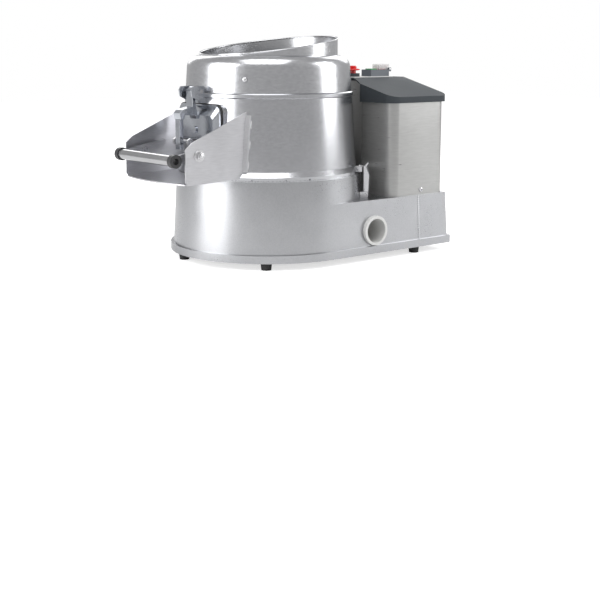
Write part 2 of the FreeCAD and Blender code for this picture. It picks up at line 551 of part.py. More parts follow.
# Outlet neck: a formed frame let into the drum's wall, with the door's seal in its face
neck = body("neck")
raised(neck, "XZ_Plane", [rounded("neck_half", "neck_z0", "neck_z1", "neck_corner"),
                          rounded("neck_half - neck_wall", "neck_z0 + neck_wall", "neck_z1 - neck_wall",
                                  "neck_corner - neck_wall")], "-door_back_y - 3 - neck_start", "neck_start")
drum_solid = turned("drum_solid", [[("0", "seat_z"), ("ring_r", "seat_z"), ("ring_r", ring_top),
                                    ("drum_r_low", ring_top + " + ring_slope"), ("drum_r_high", "drum_z1"),
                                    ("bead_r", "drum_z1 + 2"), ("bead_r", "drum_z1 + bead_tall - 2"),
                                    ("lid_r_low", "drum_z1 + bead_tall"), ("0", "drum_z1 + bead_tall")]])
piece("outlet_neck", [neck])
seal_strip = body("seal_strip")
raised(seal_strip, "XZ_Plane", [rounded("neck_half - 0.2", "neck_z0 + 0.2", "neck_z1 - 0.2", "neck_corner"),
                                rounded("neck_half - 7", "neck_z0 + 7", "neck_z1 - 7", "neck_corner - 6")],
       "2.7", "-door_back_y - 3")
piece("door_seal", [seal_strip])


def lofted(name, rear, front, rear_offset, front_offset):
    """A body lofted between two outlines that face the front."""
    owner = body(name)
    first = sketch(owner, "XZ_Plane", rear, rear_offset)
    second = sketch(owner, "XZ_Plane", front, front_offset)
    feature = owner.newObject("PartDesign::AdditiveLoft", name + "_loft")
    feature.Profile = first
    feature.Sections = [second]
    feature.Ruled = True
    return owner


# Door: a bevelled pan with a flat rim, a bent strap to its hinge and an upright grip bar
pan_out = lofted("pan_out", [rounded("door_half", "door_z0", "door_z1", "door_corner")],
                 [rounded("door_half - door_bevel", "door_z0 + 3", "door_z1 - door_top_bevel",
                          "door_corner - 4")],
                 "-door_back_y + 2", "-door_back_y + door_deep")
pan_in = lofted("pan_in", [rounded("door_half - door_wall", "door_z0 + door_wall", "door_z1 - door_wall",
                                   "door_corner - 2")],
                [rounded("door_half - door_bevel - 2", "door_z0 + 5", "door_z1 - door_top_bevel - 2",
                         "door_corner - 6")], "-door_back_y", "-door_back_y + door_deep - door_wall")
pan_rim = body("pan_rim")
raised(pan_rim, "XZ_Plane", [rounded("door_half + 2", "door_z0 - 2", "door_z1 + 2", "door_corner + 2")],
       "2", "-door_back_y")
pan_boss = rod("pan_boss", "7", "3", "0", "door_back_y - door_deep - 3", "258", "Y")
piece("door_pan", fuse("door_pan_set", [cut("pan_shell", fuse("pan_mass", [pan_out, pan_rim]), pan_in),
                                        pan_boss]))


def side_plate(name, loops, thick, from_x):
    """A plate cut from an outline seen from the side, Y across and Z up."""
    owner = body(name)
    raised(owner, "YZ_Plane", loops, thick, from_x)
    return owner


strap = side_plate("strap", [[
    ("pin_y - 8", "pin_z"), ("door_back_y - door_deep - 4", "door_z1 - 2"),
    ("door_back_y - door_deep", "door_z1 - door_top_bevel"),
    ("door_back_y - door_deep", "door_z1 - door_top_bevel - 7"),
    ("door_back_y - door_deep - 3", "door_z1 - door_top_bevel - 7"),
    ("door_back_y - door_deep - 5", "door_z1 - door_top_bevel - 1"),
    ("grip_y + 6", "door_z1 - door_top_bevel + 1"),
    ("grip_y + 4", "door_z1 - door_top_bevel - 7"), ("grip_y - 4", "door_z1 - door_top_bevel - 7"),
    ("grip_y - 6", "grip_z1 + 1"), ("grip_y", "grip_z1 + 7"), ("door_back_y - door_deep - 12", "door_z1 - 2"),
    ("pin_y - 12", "pin_z")]], "strap_wide", "-strap_wide / 2")
eye = rod("eye", "pin_r + 5", "strap_wide", "-strap_wide / 2", "pin_y", "pin_z", "X")
eye_bore = rod("eye_bore", "pin_r + running", "strap_wide + 4", "-strap_wide / 2 - 2", "pin_y", "pin_z", "X")
piece("door_strap", cut("door_strap_cut", fuse("strap_eye", [strap, eye]), eye_bore))
bar_out = block("bar_out", "grip_wide", "grip_deep", "door_z1 - door_top_bevel - 7 - grip_z0", "-grip_wide / 2",
                "grip_y - grip_deep / 2", "grip_z0")
bar_slot = block("bar_slot", "grip_wide - 6", "grip_deep", "grip_z1 - grip_z0", "3 - grip_wide / 2",
                 "grip_y - grip_deep / 2 + 3", "grip_z0 - 1")
piece("door_grip_bar", cut("door_grip_bar_cut", bar_out, bar_slot))
cross_bolt = rod("cross_bolt", "cross_r", "2 * cross_half", "-cross_half", "cross_y + 10", "cross_z", "X")
cross_nut = hexagon("cross_nut", "nut_flat", "nut_thick", "-cross_half", "cross_y + 10", "cross_z")
cross_head = hexagon("cross_head", "nut_flat", "nut_thick - 2", "cross_half - 5", "cross_y + 10", "cross_z")
piece("grip_cross_bolt", fuse("cross_set", [cross_bolt, cross_nut, cross_head]))

# Hinge: two lugs on a web above the neck, and the pin the door swings on
lug_top = "drum_z1 + bead_tall - 2"
lug = side_plate("lug", [[
    ("door_back_y + 15", "neck_z1 + 1"), ("door_back_y - 7", "neck_z1 + 1"), ("pin_y - 20", "pin_z - 10"),
    ("pin_y - 22", "pin_z + 2"), ("pin_y - 18", "pin_z + 9"), ("door_back_y - 4", "pin_z + 10"),
    ("door_back_y - 4", lug_top), ("door_back_y + 15", lug_top)]], "2 * lug_half", "-lug_half")
between = fuse("between", [
    block("between_low", "2 * (lug_half - lug_thick)", "60", "60", "lug_thick - lug_half", "door_back_y - 66.8",
          "neck_z1 - 8"),
    block("between_high", "2 * (lug_half - lug_thick)", "90", "60", "lug_thick - lug_half",
          "door_back_y - 66.8",
          "drum_z1 - 1")])
lug_bore = rod("lug_bore", "pin_r + snug", "60", "-30", "pin_y", "pin_z", "X")
piece("hinge_bracket", cut("hinge_bracket_cut", lug, fuse("lug_cuts", [between, lug_bore, drum_solid])))
hinge_rod = rod("hinge_rod", "pin_r", "2 * lug_half + 4", "-lug_half - 2", "pin_y", "pin_z", "X")
piece("hinge_pin", [hinge_rod])

# Chute: one bent sheet with two cheeks, a curved nose and flanges against the drum
cheek_side = [("door_back_y + 45", "cheek_back_z + 5"), ("cheek_round_y", "cheek_round_z"),
              ("chute_front_y", "cheek_front_z"),
              ("chute_front_y", "chute_z_front + chute_fold_r"),
              ("chute_front_y + chute_fold_r", "chute_z_front"),
              ("door_back_y + 45", "chute_z_back")]
tray = side_plate("tray", [cheek_side], "2 * cheek_x", "-cheek_x")
tray_room = side_plate("tray_room", [[("-100", "cheek_back_z + 60"), ("-400", "cheek_back_z + 60"),
                                      ("-400", "chute_z_front + chute_wall"),
                                      ("chute_front_y", "chute_z_front + chute_wall"),
                                      ("-100", "chute_z_back + chute_wall")]],
                       "2 * (cheek_x - chute_wall)", "chute_wall - cheek_x")
nose_plate = body("nose_plate")
raised(nose_plate, "XY_Plane", [[("-cheek_x + 4", "chute_front_y + 30"),
                                 ("-cheek_x + 4", "chute_front_y", "380"),
                                 ("cheek_x - 4", "chute_front_y"), ("cheek_x - 4", "chute_front_y + 30")]],
       "chute_wall", "chute_z_front")
flange_cone = turned("flange_cone", [[
    ("0", "182"), ("drum_r_low + chute_wall", "182"),
    ("drum_r_low + chute_wall - (drum_r_low - drum_r_high) * 106 / 136", "288"), ("0", "288")]])
flange_keep = fuse("flange_keep", [
    block("flange_right", "9", "120", "120", "cheek_x - chute_wall", "-200", "180"),
    block("flange_left", "9", "120", "120", "chute_wall - cheek_x - 9", "-200", "180")])
flanges = common("chute_flanges", [flange_cone, flange_keep])
bolt_holes = rod("bolt_holes", "pivot_r + gap", "3 * cheek_x", "-1.5 * cheek_x", "pivot_y", "pivot_z", "X")
tray_mass = cut("tray_mass", fuse("tray_set", [cut("tray_shell", tray, tray_room), nose_plate, flanges]),
                fuse("tray_cuts", [drum_solid, bolt_holes]))
piece("chute_tray", tray_mass)

# Pivots of the discharge handle, through the cheeks
pivots = []
for side in ("-1", "1"):
    shank = rod("pivot_shank", "pivot_r", "32", "%s * (cheek_x - 9) - 16" % side, "pivot_y", "pivot_z", "X")
    washer = rod("pivot_washer", "washer_r", "washer_thick",
                 "%s * (cheek_x + washer_thick / 2) - washer_thick / 2"
                 % side, "pivot_y", "pivot_z", "X")
    head = hexagon("pivot_head", "nut_flat - 1", "head_thick",
                   "%s * (cheek_x + washer_thick + head_thick / 2) - head_thick / 2" % side, "pivot_y",
                   "pivot_z")
    pivots.append(fuse("pivot_one", [shank, washer, head]))
piece("handle_pivots", pivots)

# Discharge handle: two arms, a cross tube and two end caps
arms = []
for side in ("-1", "1"):
    arm = side_plate("arm", [[("arm_back_y", "arm_back_z - 7"), ("arm_back_y", "arm_back_z + 7"),
                              ("pivot_y", "pivot_z + arm_high / 2"), ("tube_y", "tube_z + 7"),
                              ("tube_y", "tube_z - 7"), ("pivot_y", "pivot_z - arm_high / 2")]],
                     "arm_thick", "%s * arm_x - arm_thick / 2" % side)
    tip = rod("arm_tip", "tube_r", "arm_thick", "%s * arm_x - arm_thick / 2" % side, "tube_y", "tube_z", "X")
    arms.append(fuse("arm_one", [arm, tip]))
arm_bores = rod("arm_bores", "pivot_r + running", "3 * cheek_x", "-1.5 * cheek_x", "pivot_y", "pivot_z", "X")
piece("handle_arms", cut("handle_arms_cut", fuse("arms_both", arms), arm_bores))
piece("handle_tube", tube("handle_tube_ring", "tube_r", "tube_bore_r", "2 * tube_half", "-tube_half", "tube_y",
                          "tube_z", "X"))
caps = []
for side in ("-1", "1"):
    caps.append(tube("end_cap", "cap_end_r", "6", "cap_end_long",
                     "%s * (arm_x + arm_thick / 2 + cap_end_long / 2) - cap_end_long / 2" % side,
                     "tube_y", "tube_z", "X"))
piece("handle_end_caps", caps)


# Drum clamps: a bracket on the base, a strap that swings out on its pin and a catch on the drum
def clamp_plate(name, loops, thick, from_y):
    owner = body(name)
    raised(owner, "XZ_Plane", loops, thick, from_y)
    return owner


for label, degrees in (("right", value("clamp_turn")), ("left", 180 - value("clamp_turn"))):
    bracket = block("bracket_" + label, "clamp_out - tub_half + 17", "clamp_wide + 8",
                    "clamp_pin_z - deck_z + 6", "tub_half - 12", "-clamp_wide / 2 - 4", "deck_z")
    bracket_slot = block("bracket_slot_" + label, "40", "clamp_wide + 0.6", "40", "tub_half - 2",
                         "-clamp_wide / 2 - 0.3", "clamp_pin_z - 20")
    seat_room = rod("seat_room_" + label, "tub_half - (deck_z - foot_tall - rim_tall) * tan(tub_lean)", "80",
                    "0", "0",
                    "deck_z - 30")
    bracket_bore = rod("bracket_bore_" + label, "clamp_pin_r + snug", "60", "clamp_out", "-30", "clamp_pin_z",
                       "Y")
    bracket_cut = cut("bracket_cut_" + label, bracket, fuse("bracket_tools_" + label, [bracket_slot, seat_room,
                                                                                      bracket_bore]))
    piece("clamp_bracket_" + label, [swung("bracket_at_" + label, bracket_cut, degrees)])
    pin = rod("clamp_rod_" + label, "clamp_pin_r", "clamp_wide + 12", "clamp_out", "-clamp_wide / 2 - 6",
              "clamp_pin_z", "Y")
    piece("clamp_pin_" + label, [swung("clamp_rod_at_" + label, pin, degrees)])
    strap_side = clamp_plate("clamp_side_" + label, [[
        ("clamp_out - 4", "clamp_pin_z - 4.5"), ("clamp_out + 5", "clamp_pin_z - 4.5"),
        ("clamp_out + 7", "hook_z - 20"), ("clamp_out + 1", "hook_z - 4"), ("clamp_out + 6", "hook_z + 4"),
        ("clamp_out + 4", "hook_z + 5"), ("clamp_out - 3", "hook_z - 2"), ("ring_r + 2", "hook_z"),
        ("ring_r + 2", "lug_shelf_z + 4.3"), ("clamp_out - 4", "lug_shelf_z + 4.3"),
        ("clamp_out - 4", "lug_shelf_z - 12")]], "clamp_wide", "-clamp_wide / 2")
    strap_bore = rod("strap_bore_" + label, "clamp_pin_r + running", "60", "clamp_out", "-30", "clamp_pin_z",
                     "Y")
    strap_slot = block("strap_slot_" + label, "30", "clamp_wide - 6", "hook_z - clamp_pin_z - 26",
                       "clamp_out - 26",
                       "3 - clamp_wide / 2", "clamp_pin_z + 6")
    strap_cut = cut("strap_cut_" + label, strap_side, fuse("strap_tools_" + label, [strap_bore, strap_slot]))
    piece("clamp_strap_" + label, [swung("strap_at_" + label, strap_cut, degrees)])
    catch = clamp_plate("catch_" + label, [[
        ("160", "seat_z + bowl_lip + 3"), ("ring_r + 8", "seat_z + bowl_lip + 3"),
        ("ring_r + 8", "lug_shelf_z + 4"),
        ("ring_r + 4", "lug_shelf_z + 4"), ("160", "lug_shelf_z + 4")]], "clamp_wide - 4", "2 - clamp_wide / 2")
    catch_cut = cut("catch_cut_" + label, catch, drum_solid)
    piece("drum_catch_" + label, [swung("catch_at_" + label, catch_cut, degrees)])

# Motor cover: brushed sheet round the motor, hollowed in front to clear the drum and lid
def box_plan(out, front, rear):
    """The cover's plan, set out by an amount, with its four corners rounded to suit."""
    return rounded("cover_half + (%s)" % out, front, rear, "cover_corner + (%s)" % out)


cover = body("cover")
raised(cover, "XY_Plane", [box_plan("0", "cover_front_y", "cover_rear_y")], "cap_ridge_z - deck_z - 6",
       "deck_z")
room = body("room")
raised(room, "XY_Plane", [box_plan("-sheet_wall", "cover_front_y + sheet_wall", "cover_rear_y - sheet_wall")],
       "cap_ridge_z", "deck_z - 10")
front_out = rod("front_out", "recess_r", "400", "0", "0", "deck_z - 20")
front_in = rod("front_in", "recess_r + sheet_wall", "600", "0", "0", "deck_z - 30")
shell = cut("cover_shell", cover, cut("cover_room", room, front_in))


def roof(name, drop, wide):
    """Everything above the cap's two slopes, less a drop."""
    owner = body(name)
    raised(owner, "XZ_Plane", [[("-cover_half - %s" % wide, "cap_edge_z - %s" % drop),
                                ("-cap_ridge_half", "cap_ridge_z - %s" % drop),
                                ("cap_ridge_half", "cap_ridge_z - %s" % drop),
                                ("cover_half + %s" % wide, "cap_edge_z - %s" % drop),
                                ("cover_half + %s" % wide, "cap_ridge_z + 60"),
                                ("-cover_half - %s" % wide, "cap_ridge_z + 60")]], "400", "-360")
    return owner


cover_screw_holes = rod("cover_screw_holes", "3", "500", "-250", "screw_y", "screw_z", "X")
piece("motor_cover", cut("motor_cover_cut", shell, fuse("cover_cuts", [
    front_out, roof("cover_roof", "(cap_wall + gap)", "3"), cover_screw_holes])))

# Cover cap: dark moulded lid with two slopes and a flat top, and a skirt over the sheet's edge
cap_mass = body("cap_mass")
raised(cap_mass, "XY_Plane", [box_plan("cap_over", "cover_front_y - cap_over", "cover_rear_y + cap_rear")],
       "cap_ridge_z - cover_z1 + 20", "cover_z1")
cap_in = body("cap_in")
raised(cap_in, "XY_Plane", [box_plan("gap", "cover_front_y - gap", "cover_rear_y + gap")],
       "cap_ridge_z - cover_z1 + 40", "cover_z1 - 10")
cap_front = rod("cap_front", "recess_r - cap_over - gap", "400", "0", "0", "100")
cap_inner = cut("cap_inner", cap_in, roof("cap_under", "cap_wall", "3"))
piece("cover_cap", cut("cover_cap_cut", cap_mass, fuse("cap_cuts", [
    cap_inner, cap_front, roof("cap_over_top", "0", "4")])))
screws = []
for side in ("-1", "1"):
    screws.append(rod("cover_screw", "screw_r", "3", "%s * (cover_half + 1.5) - 1.5" % side, "screw_y",
                      "screw_z", "X"))
piece("cover_screws", screws)

# Controls on the cap's flat top
piece("control_plate", [block("plate_strip", "2 * cap_ridge_half - 12", "110", "1", "6 - cap_ridge_half",
                              "stop_y - 28", "cap_ridge_z")])
top_z = "cap_ridge_z + 1"
piece("stop_collar", [tube("stop_base", "stop_base_r", "stop_r - 4 + gap", "stop_base_tall - 3", "10", "stop_y",
                           top_z)])
mushroom = turned("mushroom", [[("0", "-2"), ("stop_r - 4", "-2"), ("stop_r - 4", "5"), ("stop_r + 3", "6"),
                                ("stop_r + 3", "9"), ("stop_r - 3", "10"), ("stop_r - 2", "stop_high - 2"),
                                ("stop_r - 4", "stop_high"), ("0", "stop_high")]])
mushroom_at = doc.addObject("Part::Compound", "mushroom_at")
mushroom_at.Links = [mushroom]
piece("emergency_stop", [lay(mushroom_at, "10", "stop_y", top_z + " + stop_base_tall - 3 + 0.3")])
case = block("case", "box_wide", "box_long", "box_tall", "10 - box_wide / 2", "box_y - box_long / 2", top_z)
wells = []
for i, shift in enumerate(("-1", "1")):
    wells.append(block("well_%d" % i, "button_wide + 0.6", "button_long + 0.6", "button_deep + 8",
                       "10 - button_wide / 2 - 0.3", "box_y + %s * 12.5 - button_long / 2 - 0.3" % shift,
                       top_z + " + box_tall - button_deep"))
ears = [block("ear_%d" % i, "4", "6", "8", "10 + %s * (box_wide / 2 - 2) - 2" % side, "box_y + box_long / 2",
              top_z + " + box_tall - 4") for i, side in enumerate(("-1", "1"))]
flap_y = "box_y + box_long / 2 + 3"
flap_z = top_z + " + box_tall + 1"
ear_bore = rod("ear_bore", "1.5 + snug", "60", "-20", flap_y, flap_z, "X")
piece("switch_case", cut("switch_case_cut", fuse("case_set", [case] + ears), fuse("wells", wells + [ear_bore])))
piece("flap_pin", [rod("flap_rod", "1.5", "box_wide", "10 - box_wide / 2", flap_y, flap_z, "X")])
flap_out = block("flap_out", "box_wide - 9", "box_long / 2 + 3", "shield_tall", "10 - box_wide / 2 + 4.5",
                 "box_y + 1", top_z + " + box_tall + gap")
flap_eye = rod("flap_eye", "2.6", "box_wide - 9", "10 - box_wide / 2 + 4.5", flap_y, flap_z, "X")
flap_in = block("flap_in", "box_wide - 12", "box_long / 2 - 3", "shield_tall - 1.5", "10 - box_wide / 2 + 6",
                "box_y + 2.5", top_z + " + box_tall - 1")
flap_bore = rod("flap_bore", "1.5 + running", "60", "-20", flap_y, flap_z, "X")
piece("switch_flap", cut("switch_flap_cut", fuse("flap_set", [flap_out, flap_eye]), fuse("flap_cuts",
                                                                                       [flap_in, flap_bore])))
for label, shift in (("start_button", "-1"), ("stop_button", "1")):
    piece(label, [block(label + "_key", "button_wide", "button_long", "button_high", "10 - button_wide / 2",
                        "box_y + %s * 12.5 - button_long / 2" % shift, top_z + " + box_tall - 3")])

# Cable gland in the base's rear wall
gland = turned("gland", [[("gland_bore_r", "-18"), ("gland_r - 2.3", "-18"), ("gland_r - 2.3", "0"),
                          ("gland_r + 2", "0"), ("gland_r + 2", "5"), ("gland_r - 1", "gland_long"),
                          ("gland_bore_r", "gland_long")]])
gland_at = doc.addObject("Part::Compound", "gland_at")
gland_at.Links = [gland]
piece("cable_gland", [lay(gland_at, "gland_x", "tub_rear - 2", "gland_z", ((1, 0, 0), -90))])

# Every sub-part is checked and written to its own file
doc.recompute()
faults = [obj.Name for obj in doc.Objects if "Invalid" in obj.State or "Error" in obj.State]
if faults:
    raise RuntimeError("These features did not build: " + ", ".join(faults))
os.makedirs("parts", exist_ok=True)
for obj in finished:
    if obj.Shape.isNull() or not obj.Shape.isValid() or not obj.Shape.Solids:
        raise RuntimeError("This sub-part has no sound solid: " + obj.Label)
    obj.Shape.exportStep("parts/" + obj.Label + ".step")
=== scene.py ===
import json
import math
import random

import bmesh
import bpy
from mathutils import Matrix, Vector


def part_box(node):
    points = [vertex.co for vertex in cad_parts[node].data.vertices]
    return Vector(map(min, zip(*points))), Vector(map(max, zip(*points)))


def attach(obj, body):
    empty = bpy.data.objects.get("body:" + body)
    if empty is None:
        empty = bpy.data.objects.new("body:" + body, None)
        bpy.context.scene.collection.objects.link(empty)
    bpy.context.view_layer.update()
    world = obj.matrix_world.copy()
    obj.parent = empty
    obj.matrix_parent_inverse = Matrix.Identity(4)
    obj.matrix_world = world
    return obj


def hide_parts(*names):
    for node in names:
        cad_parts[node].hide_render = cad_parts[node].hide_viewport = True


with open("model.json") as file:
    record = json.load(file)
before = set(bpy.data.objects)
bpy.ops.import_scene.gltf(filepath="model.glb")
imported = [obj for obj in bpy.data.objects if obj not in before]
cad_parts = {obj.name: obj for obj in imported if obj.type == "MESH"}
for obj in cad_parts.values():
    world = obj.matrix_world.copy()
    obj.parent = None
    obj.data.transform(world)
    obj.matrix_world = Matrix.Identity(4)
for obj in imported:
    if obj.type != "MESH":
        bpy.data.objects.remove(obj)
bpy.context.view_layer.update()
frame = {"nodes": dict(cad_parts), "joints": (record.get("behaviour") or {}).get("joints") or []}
solids = frame["nodes"]
random.seed(7)

# The cast base: one aluminium casting with a rim band, a leaning wall, a flat deck and a round seat.
# It is sprayed with a satin silver lacquer, so the casting's skin still shows as a faint orange peel.
# Towards the rear a seam runs up each long side, closed with a low bead of weld.


def worked_skin():
    """The group that every finish shares: fine grain, cloudy patches and a height for the bump."""
    group = bpy.data.node_groups.new("worked_skin", "ShaderNodeTree")
    for label, kind in (("Pale", "Color"), ("Deep", "Color"), ("Stretch", "Vector"), ("Grain", "Float"),
                        ("Smoothest", "Float"), ("Roughest", "Float"), ("Cloud", "Float")):
        group.interface.new_socket(label, in_out="INPUT", socket_type="NodeSocket" + kind)
    for label, kind in (("Color", "Color"), ("Roughness", "Float"), ("Height", "Float")):
        group.interface.new_socket(label, in_out="OUTPUT", socket_type="NodeSocket" + kind)
    nodes, wires = group.nodes, group.links
    given = nodes.new("NodeGroupInput")
    out = nodes.new("NodeGroupOutput")
    place = nodes.new("ShaderNodeTexCoord")
    stretch = nodes.new("ShaderNodeVectorMath")
    stretch.operation = "MULTIPLY"
    wires.new(place.outputs["Object"], stretch.inputs[0])
    wires.new(given.outputs["Stretch"], stretch.inputs[1])
    noises = {}
    for label, source in (("Grain", stretch.outputs[0]), ("Cloud", place.outputs["Object"])):
        noise = nodes.new("ShaderNodeTexNoise")
        noise.inputs["Detail"].default_value = 3.0
        wires.new(source, noise.inputs["Vector"])
        wires.new(given.outputs[label], noise.inputs["Scale"])
        noises[label] = noise.outputs["Fac"]

    # The two noises are mixed nearly half and half, and the middle of the result is spread to 0..1.
    cloud_share = nodes.new("ShaderNodeMath")
    cloud_share.operation = "MULTIPLY"
    cloud_share.inputs[1].default_value = 0.55
    wires.new(noises["Cloud"], cloud_share.inputs[0])
    both = nodes.new("ShaderNodeMath")
    both.operation = "MULTIPLY_ADD"
    both.inputs[1].default_value = 0.45
    wires.new(noises["Grain"], both.inputs[0])
    wires.new(cloud_share.outputs[0], both.inputs[2])
    spread = nodes.new("ShaderNodeMapRange")
    spread.inputs["From Min"].default_value = 0.33
    spread.inputs["From Max"].default_value = 0.67
    wires.new(both.outputs[0], spread.inputs["Value"])

    colour = nodes.new("ShaderNodeMix")
    colour.data_type = "RGBA"
    wires.new(spread.outputs[0], colour.inputs["Factor"])
    wires.new(given.outputs["Deep"], colour.inputs["A"])
    wires.new(given.outputs["Pale"], colour.inputs["B"])
    rough = nodes.new("ShaderNodeMapRange")
    wires.new(spread.outputs[0], rough.inputs["Value"])
    wires.new(given.outputs["Smoothest"], rough.inputs["To Min"])
    wires.new(given.outputs["Roughest"], rough.inputs["To Max"])
    wires.new(colour.outputs["Result"], out.inputs["Color"])
    wires.new(rough.outputs[0], out.inputs["Roughness"])
    wires.new(noises["Grain"], out.inputs["Height"])
    return group


skin = worked_skin()


def finish(name, pale, deep, rough, grain, stretch=(1, 1, 1), cloud=9.0, metallic=1.0, bump=0.1, depth=0.0002,
           coat=0.0, alpha=1.0, shine=0.5):
    """A finish: two colours and two roughnesses that wander over the surface, and a fine relief.

    grain and cloud are the scales of the two noises per metre, stretch scales the grain along X, Y and Z,
    and the relief has a strength (bump) and a depth in metres.
    """
    made = bpy.data.materials.new(name)
    made.use_nodes = True
    nodes, wires = made.node_tree.nodes, made.node_tree.links
    shader = nodes["Principled BSDF"]
    worked = nodes.new("ShaderNodeGroup")
    worked.node_tree = skin
    relief = nodes.new("ShaderNodeBump")
    smoothest, roughest = rough
    for node, label, value in (
            (shader, "Metallic", metallic), (shader, "Coat Weight", coat), (shader, "Coat Roughness", 0.12),
            (shader, "Alpha", alpha), (shader, "Specular IOR Level", shine),
            (worked, "Pale", (*pale, 1)), (worked, "Deep", (*deep, 1)), (worked, "Stretch", stretch),
            (worked, "Grain", grain), (worked, "Smoothest", smoothest), (worked, "Roughest", roughest),
            (worked, "Cloud", cloud), (relief, "Strength", bump), (relief, "Distance", depth)):
        node.inputs[label].default_value = value
    wires.new(worked.outputs["Color"], shader.inputs["Base Color"])
    wires.new(worked.outputs["Roughness"], shader.inputs["Roughness"])
    wires.new(worked.outputs["Height"], relief.inputs["Height"])
    wires.new(relief.outputs["Normal"], shader.inputs["Normal"])
    return made


def crisp_edges(piece, degrees):
    """Smooth shading that stops where two faces meet more sharply than this."""
    crisp = piece.modifiers.new("crisp", "EDGE_SPLIT")
    crisp.split_angle = math.radians(degrees)
    piece.data.shade_smooth()


def dress(name, material, eased=0.0):
    """A CAD piece as it shows: its finish, round faces smooth, and edges crisp or eased by a width."""
    edge_degrees = 28
    piece = solids[name]
    piece.data.materials.clear()
    piece.data.materials.append(material)
    join = piece.modifiers.new("joined", "WELD")
    join.merge_threshold = 0.00002
    if not eased:
        crisp_edges(piece, edge_degrees)
        return
    ease = piece.modifiers.new("eased", "BEVEL")
    ease.limit_method = "ANGLE"
    ease.angle_limit = math.radians(edge_degrees)
    ease.width = eased
    ease.segments = 2
    even = piece.modifiers.new("even", "WEIGHTED_NORMAL")
    even.mode = "FACE_AREA"
    even.weight = 100
    piece.data.shade_smooth()


lacquered_casting = finish("lacquered_casting", pale=(0.47, 0.475, 0.49), deep=(0.38, 0.385, 0.40),
                           rough=(0.26, 0.36), grain=420.0, bump=0.04)
dress("base_tub", lacquered_casting)


def span_rows(made, rows, around=True, ends=True):
    """Quads between neighbouring rows of points, closed round each row, with a face on both ends."""
    for row, after in zip(rows, rows[1:]):
        for j in range(len(row) if around else len(row) - 1):
            k = (j + 1) % len(row)
            made.faces.new((row[j], row[k], after[k], after[j]))
    if ends:
        made.faces.new(rows[0])
        made.faces.new(rows[-1])


def shown_piece(made, name, material, body, smooth=True):
    """A bmesh turned into a piece of the scene that rides on one body."""
    bmesh.ops.recalc_face_normals(made, faces=made.faces)
    mesh = bpy.data.meshes.new(name)
    made.to_mesh(mesh)
    made.free()
    mesh.materials.append(material)
    if smooth:
        mesh.shade_smooth()
    piece = bpy.data.objects.new(name, mesh)
    bpy.context.scene.collection.objects.link(piece)
    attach(piece, body)
    return piece


def weld_bead(name, start, end, out, half_width, material, ripples):
    """A run of weld: a low rounded ridge whose height and width wander with the torch."""
    rows_per_ripple = 6
    arc_steps = 6
    flatness = 0.38
    sunk = 0.0003
    swing = 0.22
    wander = 0.08
    made = bmesh.new()
    start, end, out = Vector(start), Vector(end), Vector(out)
    across = (end - start).cross(out).normalized()
    count = ripples * rows_per_ripple
    rows = []
    for i in range(count + 1):
        t = i / count
        swell = 1.0 + swing * math.sin(2 * math.pi * ripples * t) + random.uniform(-wander, wander)
        spot = start.lerp(end, t)
        row = []
        for k in range(arc_steps + 1):
            a = math.pi * k / arc_steps
            row.append(made.verts.new(spot + across * half_width * swell * math.cos(a)
                                      + out * half_width * flatness * swell * math.sin(a) - out * sunk))
        rows.append(row)
    span_rows(made, rows, around=False)
    shown_piece(made, name, material, "base")


seam_y = 0.216
seam_foot_x, seam_foot_z = 0.1920, 0.030
seam_top_x, seam_top_z = 0.1874, 0.117
wall_lean = 0.05
for side, label in ((1, "right"), (-1, "left")):
    weld_bead("tub_weld_" + label, (side * seam_foot_x, seam_y, seam_foot_z),
              (side * seam_top_x, seam_y, seam_top_z), (side, 0, wall_lean), half_width=0.0028,
              material=lacquered_casting, ripples=22)

# Underneath: a flat steel plate let into the rim, with air slots for the motor, and five rubber feet.
# The feet are moulded, soft, matt and a little dusty at the floor.
plain_sheet = finish("plain_sheet", pale=(0.42, 0.42, 0.43), deep=(0.33, 0.33, 0.34), rough=(0.35, 0.5),
                     grain=300.0, bump=0.08)
moulded_rubber = finish("moulded_rubber", pale=(0.032, 0.032, 0.033), deep=(0.016, 0.016, 0.017),
                        rough=(0.6, 0.85), grain=900.0, metallic=0.0, bump=0.3, depth=0.0003)
dress("bottom_plate", plain_sheet)
dress("rubber_feet", moulded_rubber)

# Drain: a moulded plastic elbow that leads from the waste bowl to the side wall.
# A pale collar is pushed round its mouth.
pale_plastic = finish("pale_plastic", pale=(0.66, 0.66, 0.65), deep=(0.56, 0.56, 0.55), rough=(0.35, 0.5),
                      grain=500.0, metallic=0.0)
dress("drain_elbow", pale_plastic)
dress("drain_collar", pale_plastic)

# Waste bowl, bearing housing and the running gear under the disc. They are plain workshop finishes:
# spun sheet, rough grey castings, turned steel with fine marks from the lathe, and rubber.
spun_sheet = finish("spun_sheet", pale=(0.60, 0.61, 0.63), deep=(0.45, 0.455, 0.47), rough=(0.22, 0.34),
                    grain=260.0, stretch=(1, 1, 9), bump=0.05)
grey_iron = finish("grey_iron", pale=(0.20, 0.20, 0.21), deep=(0.12, 0.12, 0.13), rough=(0.5, 0.7),
                   grain=600.0, metallic=0.6, bump=0.4, depth=0.0005)
turned_steel = finish("turned_steel", pale=(0.68, 0.68, 0.69), deep=(0.52, 0.52, 0.54), rough=(0.2, 0.32),
                      grain=700.0, stretch=(1, 1, 4), bump=0.08)
for name, material in (("waste_bowl", spun_sheet), ("bearing_housing", grey_iron),
                       ("driven_pulley", grey_iron), ("motor_pulley", grey_iron),
                       ("shaft_bearings", turned_steel),
                       ("main_shaft", turned_steel), ("motor_shaft", turned_steel),
                       ("disc_cap_nut", turned_steel), ("shaft_seal", moulded_rubber),
                       ("drive_belt", moulded_rubber), ("sweeper_vanes", spun_sheet)):
    dress(name, material)

# Abrasive disc and drum lining: silicon carbide grit set in resin. The grains are about a millimetre and
# a half, dark, sharp and dull, with paler worn tops.


